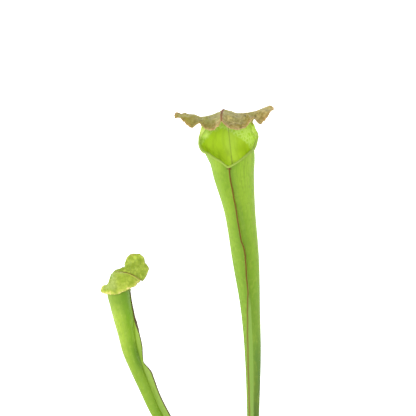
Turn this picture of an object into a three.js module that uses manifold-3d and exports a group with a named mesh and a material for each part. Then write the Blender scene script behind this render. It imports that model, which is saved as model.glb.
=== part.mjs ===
// Pale pitcher plant: two pitcher leaves growing from one short rhizome, lifted from the
// ground and laid on a table. The tall leaf lies on its back with its mouth up, the short
// one on its side.
// Millimetres. +Y runs from the rhizome to the tips, +Z is up, and z = 0 is the table. The
// origin is the flat spot under the rhizome, where the leaves meet.

import * as THREE from 'three';
import { LoftGeometry } from 'three/addons/geometries/LoftGeometry.js';
import { mergeVertices } from 'three/addons/utils/BufferGeometryUtils.js';
import Module from 'manifold-3d';

const wasm = await Module();
wasm.setup();

// Driving dimensions

const TUBE_WALL = 0.8;
const HOOD_WALL = 0.6; // at the margin of the hood and at the edge of the lip
const WING_THICKNESS = 1.1; // blade that runs up the front of a tube
const SOCKET_GAP = 0.3; // clearance between a leaf's base and the rhizome

const ROWS_PER_STATION = 2;
const V_ROUNDING = 0.1; // radians over which the point of the lip's V is rounded
const RIB_CROWDING = 0.15; // how far the hood's first ribs crowd towards the column
const SHOULDER = 0.72; // where the V of the lip ends, as a share of the way to the column

const RHIZOME_RADIUS = 7.2;
const RHIZOME_CUT_END = -27; // x of the old end, cut across
const RHIZOME_BUD_END = 27; // x of the growing tip
const RHIZOME_SCARS = 7; // rings left by old leaves
const RHIZOME_SIDES = 20;
const ROOT_RADIUS = 1.1;
const ROOT_SIDES = 6;

const PITCHER_GREEN = new THREE.MeshStandardMaterial({
  name: 'pitcher_green', color: 0xa0c541, roughness: 0.45, metalness: 0,
});
const HOOD_GREEN = new THREE.MeshStandardMaterial({
  name: 'young_pitcher_green', color: 0xb0c64f, roughness: 0.45, metalness: 0,
});
const RHIZOME_BROWN = new THREE.MeshStandardMaterial({
  name: 'rhizome_brown', color: 0x6b4a33, roughness: 0.8, metalness: 0,
});

// A station is one cross-section of a leaf, from its base up:
// [centre x, y, z, half width, half depth, turn].
// Turn is where the front faces, in degrees: 0 is up (+Z), 90 is to the right (+X).
// The wing is the blade up the front: [y, width, how far its edge leans to the leaf's right].
// Each half of the hood has a margin, which runs along its edge from the column to the tip,
// and its ribs leave the column with a lift and bend towards a crown.

const TALL_PITCHER = {
  name: 'tall_pitcher',
  material: PITCHER_GREEN,
  stations: [
    [2.5, 3.5, 7.2, 5.2, 4.2, 0],
    [2, 14, 7.5, 4.6, 4, 0],
    [1, 40, 8.2, 3.5, 3.5, 2],
    [0.5, 88, 9.3, 3.5, 3.4, 3],
    [0.8, 132, 10.3, 4.4, 4.2, 3],
    [0.6, 171, 11.2, 5.7, 5.4, 3],
    [-1.2, 204.5, 12.2, 6.9, 6.6, 1],
    [-4.4, 238, 13.2, 9.4, 9, 0],
    [-8.4, 271.5, 14, 10.8, 10.7, -9.9],
    [-12.6, 297, 15.1, 14.3, 13.7, -14.5],
    [-13.8, 308, 15.6, 15.9, 15.2, -8.9],
    [-15.3, 315, 15.9, 17.4, 16, -1],
    [-16.4, 322, 16, 20.4, 16, 0.8],
    [-16.4, 330, 16, 15.9, 15.4, 0],
  ],
  wing: [
    [8, 0, 0],
    [20, 1.5, 0],
    [40, 4, -1.5],
    [88, 5, -2.6],
    [129, 5.2, -3.2],
    [145, 5.1, -3.6],
    [164.5, 4.9, -4.2],
    [183, 4.6, -3.9],
    [200, 4.2, -2.8],
    [208.6, 4, -1.9],
    [217, 3.8, -0.9],
    [226, 3.6, -1.1],
    [236, 3.4, -0.4],
    [243.6, 3.2, 0.2],
    [247, 3.2, 0],
    [251.3, 3, -1.1],
    [263, 2.6, -0.8],
    [280, 2.2, 0],
    [291, 1.9, 0.7],
    [301, 1.4, 0.9],
  ],
  hollowFrom: 3.5, // station where the hollow ends
  bendFrom: 8, // station above which the rows follow the slanting rim
  lipFront: 9.53, // station of the lip's lowest point, over the wing
  lipSide: 10.94, // station of the lip beside the mouth
  lipSkew: 0.76, // stations that the lip is higher on its left than on its right
  lipRoll: 1.4,
  columnFrom: 92, // degrees round from the wing where the column starts
  frontColumns: 9,
  backColumns: 18,
  hoodRows: 9,
  left: {
    lift: [-0.8, 8.1, -0.8],
    crown: [-27.9, 337.6, 13.8],
    margin: [
      [-35.2, 330.7, 13.1],
      [-38.8, 336.3, 7.1],
      [-45.4, 339.7, 8],
      [-52.6, 341.9, 12.6],
      [-54.1, 337.7, 19.7],
      [-49.5, 337, 25.3],
      [-43.4, 330.4, 30.7],
      [-38.1, 333.4, 36.6],
      [-31.5, 329.8, 40.2],
      [-25.1, 330.1, 45],
      [-21.5, 335.5, 48],
    ],
  },
  right: {
    lift: [-0.3, 8.6, -0.5],
    crown: [-5.4, 342.5, 13.4],
    margin: [
      [2.1, 331.6, 14.3],
      [0.7, 335.7, 9.1],
      [7.9, 344.3, 6.4],
      [13.1, 346.3, 11.3],
      [15.2, 342.8, 18.2],
      [12.4, 341.4, 25.1],
      [6.8, 333, 30.8],
      [0.1, 336.8, 35.6],
      [-5, 329.7, 39.4],
      [-13.7, 330.5, 45.2],
      [-21.5, 335.5, 48],
    ],
  },
  middle: { lift: [1.5, 11.4, -0.8], crown: [-17.7, 343.6, 14.5] },
  ridgeLift: [-1.9, 6.5, 0.5],
};

const SHORT_PITCHER = {
  name: 'short_pitcher',
  material: HOOD_GREEN,
  stations: [
    [-9, 3.5, 7.2, 4.6, 4, 80],
    [-13, 14, 7.3, 4, 3.7, 85],
    [-24, 42, 7.5, 3.2, 3.2, 88],
    [-41.5, 82, 7.5, 3.2, 3.3, 90],
    [-56.5, 111, 7.4, 3.3, 3.4, 90],
    [-68.5, 133, 7.3, 3.4, 3.6, 90],
    [-74.7, 147, 7.3, 3.8, 4, 90],
    [-80.6, 160.7, 7.2, 4.3, 4.5, 90],
    [-85.5, 174, 7.2, 5.1, 5.3, 92],
    [-87.9, 185, 7.1, 5.8, 5.8, 95],
    [-90, 196, 7.1, 6.7, 6.8, 97],
    [-92.1, 206, 7.2, 7.2, 7.3, 98],
    [-93.8, 216, 8.5, 7.3, 7.9, 99],
    [-93, 225, 9.6, 6.9, 6.8, 98],
  ],
  wing: [
    [8, 0, 0],
    [20, 1.5, 0],
    [42, 3.6, 0.4],
    [82, 4.6, -0.4],
    [111, 4.9, 0.5],
    [131, 4.8, -0.4],
    [144, 4.4, 0.3],
    [153, 4.8, -0.3],
    [156, 5, -0.5],
    [158.5, 4.2, -0.2],
    [161, 2.8, 0.2],
    [164, 1.8, 0.5],
    [167.5, 2.5, 0.4],
    [170.5, 3.3, 0.3],
    [174, 4, 0],
    [178, 4.1, -0.3],
    [187, 3.4, -0.4],
    [192, 2.6, 0],
    [197, 1.5, 0],
    [212, 1, 0],
    [219, 0.5, 0],
  ],
  hollowFrom: 4.5,
  bendFrom: 10,
  lipFront: 12.1,
  lipSide: 12.3,
  lipSkew: 0,
  lipRoll: 1.0,
  columnFrom: 130,
  frontColumns: 10,
  backColumns: 14,
  hoodRows: 8,
  left: {
    lift: [0.8, 3.1, 1.9],
    crown: [-91.9, 226.9, 23],
    margin: [
      [-98, 221, 18],
      [-101.1, 221.6, 16.6],
      [-105.3, 218.9, 17.3],
      [-105.2, 215.7, 19.4],
      [-99.6, 213.7, 22.7],
      [-94.8, 214.1, 22.1],
      [-89.6, 216, 21.7],
      [-84.4, 218.2, 20.7],
      [-80, 221.2, 17.5],
      [-78, 224, 13.5],
    ],
  },
  right: {
    lift: [4.3, 3.8, -0.8],
    crown: [-83.8, 225.9, 6.3],
    margin: [
      [-93.6, 228.3, 0.1],
      [-94.2, 229.9, 1.6],
      [-88.3, 234.6, 4.6],
      [-89.2, 238.7, 7.1],
      [-82.9, 242.3, 7.7],
      [-76.4, 240.7, 6.3],
      [-74.3, 235.5, 4.2],
      [-72.3, 231.9, 3.9],
      [-75.3, 223.7, 6.3],
      [-78, 224, 13.5],
    ],
  },
  middle: { lift: [-0.7, 7.8, 1.3], crown: [-91, 229.8, 14.7] },
  ridgeLift: [1.8, 1.4, 2.6],
};

// Smooth interpolation

const vector = (a) => new THREE.Vector3(...a);
const smooth = (x, from, to) => THREE.MathUtils.smoothstep(x, from, to);

// The value at place t in a list of number rows: Catmull-Rom, one unit of t per row.
function along(rows, t) {
  const last = rows.length - 1;
  const i = Math.min(Math.max(Math.floor(t), 0), last - 1);
  const f = t - i;
  const [a, b, c, d] = [i - 1, i, i + 1, i + 2].map(
    (k) => rows[Math.min(Math.max(k, 0), last)],
  );
  return b.map((_, k) =>
    b[k] + 0.5 * f * (c[k] - a[k]
      + f * (2 * a[k] - 5 * b[k] + 4 * c[k] - d[k]
      + f * (3 * (b[k] - c[k]) + d[k] - a[k]))),
  );
}

// Leaf surface

// The cross-section at station t: its centre, axes and half sizes.
function sectionAt(leaf, t) {
  const step = 0.01;
  const [x, y, z, halfWidth, halfDepth, turn] = along(leaf.stations, t);
  const centre = new THREE.Vector3(x, y, z);
  const tangent = vector(along(leaf.stations, t + step).slice(0, 3))
    .sub(vector(along(leaf.stations, t - step).slice(0, 3)))
    .normalize();
  const angle = THREE.MathUtils.degToRad(turn);
  const facing = new THREE.Vector3(Math.sin(angle), 0, Math.cos(angle));
  const side = new THREE.Vector3().crossVectors(tangent, facing).normalize();
  const front = new THREE.Vector3().crossVectors(side, tangent);
  return { centre, tangent, side, front, halfWidth, halfDepth };
}

// A point of the outer wall, phi radians round from the wing.
function wallPoint(leaf, t, phi) {
  const { centre, side, front, halfWidth, halfDepth } = sectionAt(leaf, t);
  return centre
    .addScaledVector(side, halfWidth * Math.sin(phi))
    .addScaledVector(front, halfDepth * Math.cos(phi));
}

// Station of the rim, phi radians round from the wing: lowest in front, V-shaped, and
// running up the edge of the column at the back.
function rimStation(leaf, phi) {
  const top = leaf.stations.length - 1;
  const edge = THREE.MathUtils.degToRad(leaf.columnFrom);
  const shoulder = SHOULDER * edge;
  const round = Math.hypot(phi, V_ROUNDING) - V_ROUNDING;
  const rise = Math.sin(Math.min(round, shoulder)) / Math.sin(shoulder);
  const skew = 0.5 * leaf.lipSkew * Math.sign(phi) * rise;
  const lip = THREE.MathUtils.lerp(leaf.lipFront, leaf.lipSide, rise) - skew;
  return lip + (top - lip) * smooth(round, shoulder, edge);
}

// Where rib phi of the hood ends, on the hood's margin. The ribs beside the column's edge
// end close together, so that they meet the margin at an angle.
function marginPoint(leaf, phi) {
  const edge = THREE.MathUtils.degToRad(leaf.columnFrom);
  const even = Math.max((Math.abs(phi) - edge) / (Math.PI - edge), 0);
  const share = ((1 + RIB_CROWDING) * even ** 2) / (even + RIB_CROWDING);
  const { margin } = phi < 0 ? leaf.left : leaf.right;
  return vector(along(margin, share * (margin.length - 1)));
}

// A point past the rim, flare 0 to 1 from the rim outwards: on the rolled lip in front, on
// the hood at the back.
function flarePoint(leaf, phi, flare) {
  const edge = THREE.MathUtils.degToRad(leaf.columnFrom);
  const t = rimStation(leaf, phi);
  const { centre, tangent } = sectionAt(leaf, t);
  const rim = wallPoint(leaf, t, phi);
  const out = rim.clone().sub(centre).normalize();
  const [up, aside] = [tangent, out].map((axis) => axis.multiplyScalar(leaf.lipRoll));
  const lip = [
    rim.clone().addScaledVector(up, 0.5).addScaledVector(aside, 0.2),
    rim.clone().addScaledVector(up, 0.55).addScaledVector(aside, 1),
    rim.clone().addScaledVector(up, -0.5).addScaledVector(aside, 0.95),
  ];
  const back = smooth(Math.abs(phi), 0.86 * edge, 1.04 * edge);
  const middle = smooth(Math.abs(phi), edge, Math.PI);
  const ridge = smooth(Math.abs(phi), 0.62 * Math.PI, Math.PI);
  const end = marginPoint(leaf, phi);
  const half = phi < 0 ? leaf.left : leaf.right;
  const crown = vector(half.crown).lerp(vector(leaf.middle.crown), middle);
  const ridgeLift = vector(leaf.ridgeLift).multiplyScalar(ridge);
  const lift = vector(half.lift).lerp(vector(leaf.middle.lift), middle).add(ridgeLift);
  const arch = smooth(Math.abs(phi), edge, 0.5 * (edge + Math.PI));
  const hood = [
    rim.clone().lerp(end, 1 / 3).lerp(rim.clone().add(lift), arch),
    rim.clone().lerp(end, 2 / 3).lerp(end.clone().lerp(crown, 0.45).add(ridgeLift), arch),
    end,
  ];
  const [a, b, c] = lip.map((p, k) => p.lerp(hood[k], back));
  return new THREE.CubicBezierCurve3(rim, a, b, c).getPoint(flare);
}

// Width of the wing at height y, and how far its edge leans to the leaf's right.
function wingAt(leaf, y) {
  const last = leaf.wing.length - 1;
  const k = Math.max(leaf.wing.findLastIndex((entry) => entry[0] <= y), 0);
  const [from, to] = [leaf.wing[k], leaf.wing[Math.min(k + 1, last)]];
  const share = smooth(y, from[0], to[0]);
  return [1, 2].map((i) => THREE.MathUtils.lerp(from[i], to[i], share));
}

// Columns run round the leaf, from the wing's edge in front to the back and round again.
// Half of the wing's columns, from its edge to its root: how far aside they lie, in
// thicknesses, and how far out, in widths.
const WING_COLUMNS = [
  { aside: 0, out: 1 },
  { aside: 0.5, out: 0.93 },
  { aside: 0.5, out: 0.4 },
  { aside: 0.75, out: 0 },
];

function columnsOf(leaf) {
  const edge = THREE.MathUtils.degToRad(leaf.columnFrom);
  const half = WING_COLUMNS.map((wing) => ({ wing }));
  for (let k = 1; k <= leaf.frontColumns; k++)
    half.push({ share: k / leaf.frontColumns, to: edge });
  for (let k = 1; k <= leaf.backColumns; k++)
    half.push({ phi: edge + ((Math.PI - edge) * k) / leaf.backColumns });
  const mirrored = half.slice(1, -1).reverse();
  return [
    ...half.map((column) => ({ ...column, sign: 1 })),
    ...mirrored.map((column) => ({ ...column, sign: -1 })),
  ];
}

// The angle of a column at station t. The wing's root is as wide on a thick tube as on a
// thin one, so the columns beside it shift with the tube's size.
function columnAngle(leaf, column, t) {
  const root = Math.asin((WING_COLUMNS.at(-1).aside * WING_THICKNESS) / along(leaf.stations, t)[3]);
  if (column.wing) {
    const place = WING_COLUMNS.indexOf(column.wing) / (WING_COLUMNS.length - 1);
    return column.sign * root * place;
  }
  if (column.to) return column.sign * (root + (column.to - root) * column.share);
  return column.sign * column.phi;
}

// The station of a row on the wall. The upper rows bend to follow the rim.
function rowStation(leaf, row, phi) {
  const top = leaf.stations.length - 1;
  const even = row / ROWS_PER_STATION;
  if (even <= leaf.bendFrom) return even;
  const share = (even - leaf.bendFrom) / (top - leaf.bendFrom);
  return leaf.bendFrom + share * (rimStation(leaf, phi) - leaf.bendFrom);
}

const wrapped = (angle) => Math.atan2(Math.sin(angle), Math.cos(angle));
const wallRows = (leaf) => ROWS_PER_STATION * (leaf.stations.length - 1);

// A point of the leaf's outer skin without the wing.
function skinPoint(leaf, column, row, nudge = 0) {
  const rows = wallRows(leaf);
  const level = Math.min(row, rows) / ROWS_PER_STATION;
  const phi = wrapped(columnAngle(leaf, column, level) + nudge);
  if (row > rows) return flarePoint(leaf, phi, (row - rows) / leaf.hoodRows);
  return wallPoint(leaf, rowStation(leaf, row, phi), phi);
}

// Outward normal of the skin, by differences.
function skinNormal(leaf, column, row) {
  const step = 0.02;
  const last = wallRows(leaf) + leaf.hoodRows;
  const at = (rise, nudge) =>
    skinPoint(leaf, column, THREE.MathUtils.clamp(row + rise, 0, last), nudge);
  const up = at(step, 0).sub(at(-step, 0));
  const round = at(0, step).sub(at(0, -step));
  return round.cross(up).normalize();
}

// Moves a point of the outer skin out onto the wing.
function wingPoint(leaf, column, row, point) {
  if (!column.wing) return point;
  const fade = 1 - smooth(row, wallRows(leaf) - 1, wallRows(leaf) + 1);
  const t = rowStation(leaf, Math.min(row, wallRows(leaf)), 0);
  const { centre, side, front, halfWidth } = sectionAt(leaf, t);
  const [width, lean] = wingAt(leaf, centre.y);
  const reach = Math.sqrt(Math.max(width ** 2 - lean ** 2, 0));
  const { aside, out } = column.wing;
  const from = halfWidth * Math.sin(columnAngle(leaf, column, t));
  const across = column.sign * aside * WING_THICKNESS + out * lean;
  return point
    .addScaledVector(front, reach * out * fade)
    .addScaledVector(side, (across - from) * fade);
}

const onTable = (p, floor = 0) => p.setZ(Math.max(p.z, floor));

// Triangles, three points each, of the band between two rings of points.
function band(lower, upper) {
  return lower.flatMap((p, j) => {
    const k = (j + 1) % lower.length;
    return [p, lower[k], upper[j], lower[k], upper[k], upper[j]];
  });
}

// Triangles that close a ring of points round its middle.
function cap(ring) {
  const middle = new THREE.Vector3();
  for (const p of ring) middle.addScaledVector(p, 1 / ring.length);
  return ring.flatMap((p, j) => [middle, p, ring[(j + 1) % ring.length]]);
}

const skin = (rows) => rows.slice(1).flatMap((row, i) => band(rows[i], row));
const turnedOver = (triangles) => [...triangles].reverse();

// The whole leaf as one closed solid: the outer skin, the inner skin down to the end of the
// hollow, split into the same triangles, the rim between them, and the two ends.
function leafGeometry(leaf) {
  const columns = columnsOf(leaf);
  const outer = [];
  const inner = [];
  for (let row = 0; row <= wallRows(leaf) + leaf.hoodRows; row++) {
    const points = columns.map((column) => skinPoint(leaf, column, row));
    const flare = Math.max(row - wallRows(leaf), 0) / leaf.hoodRows;
    const wall = THREE.MathUtils.lerp(TUBE_WALL, HOOD_WALL, flare);
    if (row >= ROWS_PER_STATION * leaf.hollowFrom)
      inner.push(
        points.map((p, j) => {
          const inside = p.clone().addScaledVector(skinNormal(leaf, columns[j], row), -wall);
          return onTable(inside, wall);
        }),
      );
    outer.push(points.map((p, j) => onTable(wingPoint(leaf, columns[j], row, p))));
  }
  return new THREE.BufferGeometry().setFromPoints([
    ...skin(outer),
    ...band(outer.at(-1), inner.at(-1)),
    ...turnedOver(skin(inner)),
    ...turnedOver(cap(outer[0])),
    ...cap(inner[0]),
  ]);
}

// The foot of a leaf, grown by the socket's clearance, to cut the rhizome with.
function socketGeometry(leaf) {
  const grown = {
    ...leaf,
    stations: leaf.stations.map(([x, y, z, halfWidth, halfDepth, turn]) => [
      x, y, z, halfWidth + SOCKET_GAP, halfDepth + SOCKET_GAP, turn,
    ]),
  };
  const sides = 24;
  const rings = [];
  for (let t = 0; t <= 1.2; t += 0.2) {
    const ring = [];
    for (let k = 0; k < sides; k++)
      ring.push(wallPoint(grown, t, (2 * Math.PI * k) / sides));
    rings.push(ring);
  }
  const down = sectionAt(leaf, 0).tangent.multiplyScalar(-SOCKET_GAP);
  rings.unshift(rings[0].map((p) => p.clone().add(down)));
  return new LoftGeometry(rings, { capStart: true, capEnd: true });
}

// Rhizome

function rhizomeGeometry() {
  const length = RHIZOME_BUD_END - RHIZOME_CUT_END;
  const steps = 36;
  const budFrom = 0.72;
  const rings = [];
  for (let k = 0; k < steps; k++) {
    const share = k / (steps - 1);
    const scar = Math.abs(Math.sin(Math.PI * RHIZOME_SCARS * share));
    const bud = Math.max((share - budFrom) / (1 - budFrom), 0);
    const radius = RHIZOME_RADIUS * (0.93 + 0.09 * scar) * Math.sqrt(1 - 0.96 * bud ** 1.6);
    const x = RHIZOME_CUT_END + length * share;
    const ring = [];
    for (let j = 0; j < RHIZOME_SIDES; j++) {
      const angle = (2 * Math.PI * j) / RHIZOME_SIDES;
      const knobs = 1 + 0.05 * Math.sin(3 * angle + 9 * share) + 0.03 * Math.sin(2 * angle + 23 * share);
      ring.push(
        new THREE.Vector3(
          x,
          radius * knobs * Math.cos(angle),
          Math.max(RHIZOME_RADIUS - 0.9 + radius * knobs * Math.sin(angle), 0),
        ),
      );
    }
    rings.push(ring);
  }
  return new LoftGeometry(rings, { capStart: true, capEnd: true });
}

// Root stubs: [x where it leaves, heading in degrees (270 is away from the leaves), length].
const ROOTS = [
  [-23, 232, 15],
  [-18, 262, 22],
  [-12, 248, 12],
  [-6, 275, 24],
  [1, 258, 16],
  [7, 283, 21],
  [13, 268, 13],
  [17, 296, 18],
];

function rootGeometry([x, heading, length], index) {
  const angle = THREE.MathUtils.degToRad(heading);
  const way = new THREE.Vector3(Math.cos(angle), Math.sin(angle), 0);
  const across = new THREE.Vector3(-way.y, way.x, 0);
  const wiggle = index % 2 ? 1.6 : -1.6;
  const start = new THREE.Vector3(x, -0.45 * RHIZOME_RADIUS, 4);
  const place = (share, height) =>
    start
      .clone()
      .addScaledVector(way, length * share)
      .addScaledVector(across, wiggle * Math.sin(4 * share))
      .setZ(height);
  const rest = ROOT_RADIUS + 0.15;
  const path = new THREE.CatmullRomCurve3([
    place(0, 4),
    place(0.3, 2.6),
    place(0.6, rest),
    place(1, rest),
  ]);
  const steps = 8;
  const rings = [];
  for (let k = 0; k <= steps; k++) {
    const share = k / steps;
    const centre = path.getPoint(share);
    const tangent = path.getTangent(share);
    const side = new THREE.Vector3(0, 0, 1).cross(tangent).normalize();
    const up = new THREE.Vector3().crossVectors(tangent, side);
    const radius = ROOT_RADIUS * (1 - 0.35 * share);
    const ring = [];
    for (let j = 0; j < ROOT_SIDES; j++) {
      const a = (2 * Math.PI * j) / ROOT_SIDES;
      ring.push(
        centre
          .clone()
          .addScaledVector(side, radius * Math.cos(a))
          .addScaledVector(up, radius * Math.sin(a)),
      );
    }
    rings.push(ring);
  }
  return new LoftGeometry(rings, { capStart: true, capEnd: true });
}

// Joining and cutting

function toSolid(loft) {
  const bare = new THREE.BufferGeometry()
    .setAttribute('position', loft.getAttribute('position'))
    .setIndex(loft.index);
  const merged = mergeVertices(bare, 1e-4);
  return new wasm.Manifold(
    new wasm.Mesh({
      numProp: 3,
      vertProperties: merged.attributes.position.array,
      triVerts: new Uint32Array(merged.index.array),
    }),
  );
}

function toGeometry(solid) {
  const mesh = solid.getMesh();
  const geometry = new THREE.BufferGeometry();
  geometry.setAttribute('position', new THREE.BufferAttribute(mesh.vertProperties, 3));
  geometry.setIndex(new THREE.BufferAttribute(mesh.triVerts, 1));
  geometry.computeVertexNormals();
  return geometry;
}

function rhizome() {
  let solid = toSolid(rhizomeGeometry());
  ROOTS.forEach((root, index) => {
    solid = solid.add(toSolid(rootGeometry(root, index)));
  });
  for (const leaf of [TALL_PITCHER, SHORT_PITCHER])
    solid = solid.subtract(toSolid(socketGeometry(leaf)));
  return toGeometry(solid);
}

// Assembly

const plant = new THREE.Group();
for (const leaf of [TALL_PITCHER, SHORT_PITCHER]) {
  const mesh = new THREE.Mesh(leafGeometry(leaf), leaf.material);
  mesh.name = leaf.name;
  plant.add(mesh);
}
const stem = new THREE.Mesh(rhizome(), RHIZOME_BROWN);
stem.name = 'rhizome';
plant.add(stem);

export default plant;
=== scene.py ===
import math

import bmesh
import bpy
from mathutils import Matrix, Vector, noise


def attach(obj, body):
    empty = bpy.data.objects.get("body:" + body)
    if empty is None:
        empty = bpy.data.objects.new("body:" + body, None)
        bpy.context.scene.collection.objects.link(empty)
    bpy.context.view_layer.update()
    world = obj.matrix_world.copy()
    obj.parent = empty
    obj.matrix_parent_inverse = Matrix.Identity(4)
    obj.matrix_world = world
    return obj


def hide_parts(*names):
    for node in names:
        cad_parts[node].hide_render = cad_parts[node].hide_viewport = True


# A pale pitcher plant lifted from the ground and laid on a table: two pitcher leaves that
# grow from one rhizome. Metres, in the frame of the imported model: +Y runs from the rhizome
# to the leaves' tips, +Z is up and the table is at z = 0.

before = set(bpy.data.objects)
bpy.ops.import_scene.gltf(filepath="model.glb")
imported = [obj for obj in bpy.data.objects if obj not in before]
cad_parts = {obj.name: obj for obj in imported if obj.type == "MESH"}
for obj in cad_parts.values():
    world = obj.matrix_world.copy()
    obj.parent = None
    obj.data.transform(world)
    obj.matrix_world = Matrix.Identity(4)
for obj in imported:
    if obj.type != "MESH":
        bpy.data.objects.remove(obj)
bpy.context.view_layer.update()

# The tall pitcher is one leaf, grown as a tapering tube of thin green tissue whose joined
# edges stand up in front as a red-edged wing. The tube's mouth has a rolled lip, and the
# back wall runs on as a column into the wide hood, which has dried to tan paper.

MM = 0.001

# A station is one cross-section of a leaf, in millimetres, from its base up: centre x, y, z,
# half width, half depth, and where the front faces, in degrees, 0 up and 90 to the right.
# The wing is given as height, width and lean to the leaf's right. Each half of the hood
# ends on a margin. An outline is a line that the hood's upper or lower edge follows, seen
# from the front: it moves the part above a height z, as deep in and as far as it says.
TALL = {
    "stations": [
        (2.5, 3.5, 7.2, 5.2, 4.2, 0), (2, 14, 7.5, 4.6, 4, 0), (1, 40, 8.2, 3.5, 3.5, 2),
        (0.5, 88, 9.3, 3.5, 3.4, 3), (0.8, 132, 10.3, 4.4, 4.2, 3), (0.6, 171, 11.2, 5.7, 5.4, 3),
        (-1.2, 204.5, 12.2, 6.9, 6.6, 1), (-4.4, 238, 13.2, 9.4, 9, 0),
        (-8.4, 271.5, 14, 10.8, 10.7, -9.9), (-12.6, 297, 15.1, 14.3, 13.7, -14.5),
        (-13.8, 308, 15.6, 15.9, 15.2, -8.9), (-15.3, 315, 15.9, 17.4, 16, -1),
        (-16.4, 322, 16, 20.4, 16, 0.8), (-16.4, 330, 16, 15.9, 15.4, 0),
    ],
    "wing": [
        (8, 0, 0), (20, 1.5, 0), (40, 4, -1.5), (88, 5, -2.6), (129, 5.2, -3.2),
        (145, 5.1, -3.6), (164.5, 4.9, -4.2), (183, 4.6, -3.9), (200, 4.2, -2.8),
        (208.6, 4, -1.9), (217, 3.8, -0.9), (226, 3.6, -1.1), (236, 3.4, -0.4),
        (243.6, 3.2, 0.2), (247, 3.2, 0), (251.3, 3, -1.1), (263, 2.6, -0.8), (280, 2.2, 0),
        (291, 1.9, 0.7), (301, 1.4, 0.9),
    ],
    "bend_from": 8,
    "lip_front": 9.53,
    "lip_side": 10.94,
    "lip_skew": 0.76,
    "lip_roll": 1.4,
    "column_from": math.radians(92),
    "front_columns": 34,
    "back_columns": 74,
    "wall_step": 2.6,
    "hood_rows": 50,
    "left": {
        "lift": (-0.8, 8.1, -0.8),
        "crown": (-27.9, 337.6, 13.8),
        "margin": [
            (-35.2, 330.7, 13.1), (-38.8, 336.3, 7.1), (-45.4, 339.7, 8), (-52.6, 341.9, 12.6),
            (-54.1, 337.7, 19.7), (-49.5, 337, 25.3), (-43.4, 330.4, 30.7),
            (-38.1, 333.4, 36.6), (-31.5, 329.8, 40.2), (-25.1, 330.1, 45), (-21.5, 335.5, 48),
        ],
    },
    "right": {
        "lift": (-0.3, 8.6, -0.5),
        "crown": (-5.4, 342.5, 13.4),
        "margin": [
            (2.1, 331.6, 14.3), (0.7, 335.7, 9.1), (7.9, 344.3, 6.4), (13.1, 346.3, 11.3),
            (15.2, 342.8, 18.2), (12.4, 341.4, 25.1), (6.8, 333, 30.8), (0.1, 336.8, 35.6),
            (-5, 329.7, 39.4), (-13.7, 330.5, 45.2), (-21.5, 335.5, 48),
        ],
    },
    "outlines": [
        {"pick": max, "above": -1, "depth": 6, "most": 2.5, "line": [
            (-52.1, 341.7), (-49.3, 340.5), (-47.2, 341.5), (-44.5, 340.3), (-40.3, 340.2),
            (-36.1, 338.3), (-32.6, 338.8), (-29.1, 339.5), (-25.6, 340.9), (-22.8, 341.9),
            (-20.4, 343.8), (-17.9, 343.1), (-14.4, 342.4), (-10.9, 341.0), (-6, 340.9),
            (-1.8, 341.6), (2.4, 342.4), (5.9, 343.9), (8.7, 345.2), (12.9, 346.6),
        ]},
        {"pick": min, "above": 24, "depth": 7, "most": 2.5, "line": [
            (-48.5, 335.5), (-46.4, 333.4), (-44.4, 331.3), (-41.6, 330.2), (-38.8, 332.7),
            (-36.4, 333.8), (-35.3, 332.3), (-33.9, 330.9), (-31.8, 329.2), (-29.1, 328.8),
            (-26.3, 329.3), (-24.9, 330.6), (-22.8, 332.3), (-21.4, 335.1), (-20.0, 333.7),
            (-17.9, 331.9), (-15.8, 330.2), (-13.1, 329.5), (-8.9, 329.5), (-6.1, 330.0),
            (-4.0, 330.9), (-2.6, 332.6), (-1.2, 335.1), (-0.2, 336.5), (1.5, 337.2),
            (2.9, 335.1), (4.3, 333.7), (6.4, 332.8), (7.8, 334.8), (9.2, 335.5),
            (10.6, 338.2), (12.0, 341.0), (13.4, 342.1),
        ]},
    ],
    "middle": {"lift": (1.5, 11.4, -0.8), "crown": (-17.7, 343.6, 14.5)},
    "ridge_lift": (-1.9, 6.5, 0.5),
    "crinkle": 0.8,
    "ribs": 13,
    "frill": 0.9,
    "veins": 34,
    "inner_veins": 16,
}
WING_THICKNESS = 1.1
WING_PROFILE = [(0, 1), (0.36, 0.985), (0.5, 0.9), (0.5, 0.55), (0.55, 0.2), (0.75, 0)]
V_ROUNDING = 0.1
RIB_CROWDING = 0.15
SHOULDER = 0.72
LEAF_WALL = 0.35 * MM
WING_FADE = 0.12
WING_COLUMNS = 7
FRILL_SIZE = 0.03
LIP_STATIONS = 0.35
OUTLINE_STRIP = 0.7
OUTLINE_PASSES = 3
SKIN_MASKS = ("around", "flare", "lip", "wing", "midrib", "edge")


def smooth(value, low, high):
    share = min(max((value - low) / (high - low), 0.0), 1.0)
    return share * share * (3 - 2 * share)


def blended(a, b, share):
    return a + (b - a) * share


def along(rows, t):
    """The value at place t in a list of number rows: a smooth curve, one unit of t per row."""
    last = len(rows) - 1
    i = min(max(math.floor(t), 0), last - 1)
    f = t - i
    a, b, c, d = (rows[min(max(k, 0), last)] for k in (i - 1, i, i + 1, i + 2))
    return [
        q + 0.5 * f * (r - p + f * (2 * p - 5 * q + 4 * r - s + f * (3 * (q - r) + s - p)))
        for p, q, r, s in zip(a, b, c, d)
    ]


def section_at(leaf, t):
    """The cross-section at station t: centre, tangent, side, front, half width, half depth."""
    step = 0.01
    x, y, z, half_width, half_depth, turn = along(leaf["stations"], t)
    above = Vector(along(leaf["stations"], t + step)[:3])
    below = Vector(along(leaf["stations"], t - step)[:3])
    tangent = (above - below).normalized()
    facing = Vector((math.sin(math.radians(turn)), 0, math.cos(math.radians(turn))))
    side = tangent.cross(facing).normalized()
    return Vector((x, y, z)), tangent, side, side.cross(tangent), half_width, half_depth


def wall_point(section, phi):
    """A point of the tube's wall, phi radians round from the wing."""
    centre, _, side, front, half_width, half_depth = section
    return centre + side * (half_width * math.sin(phi)) + front * (half_depth * math.cos(phi))


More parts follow.
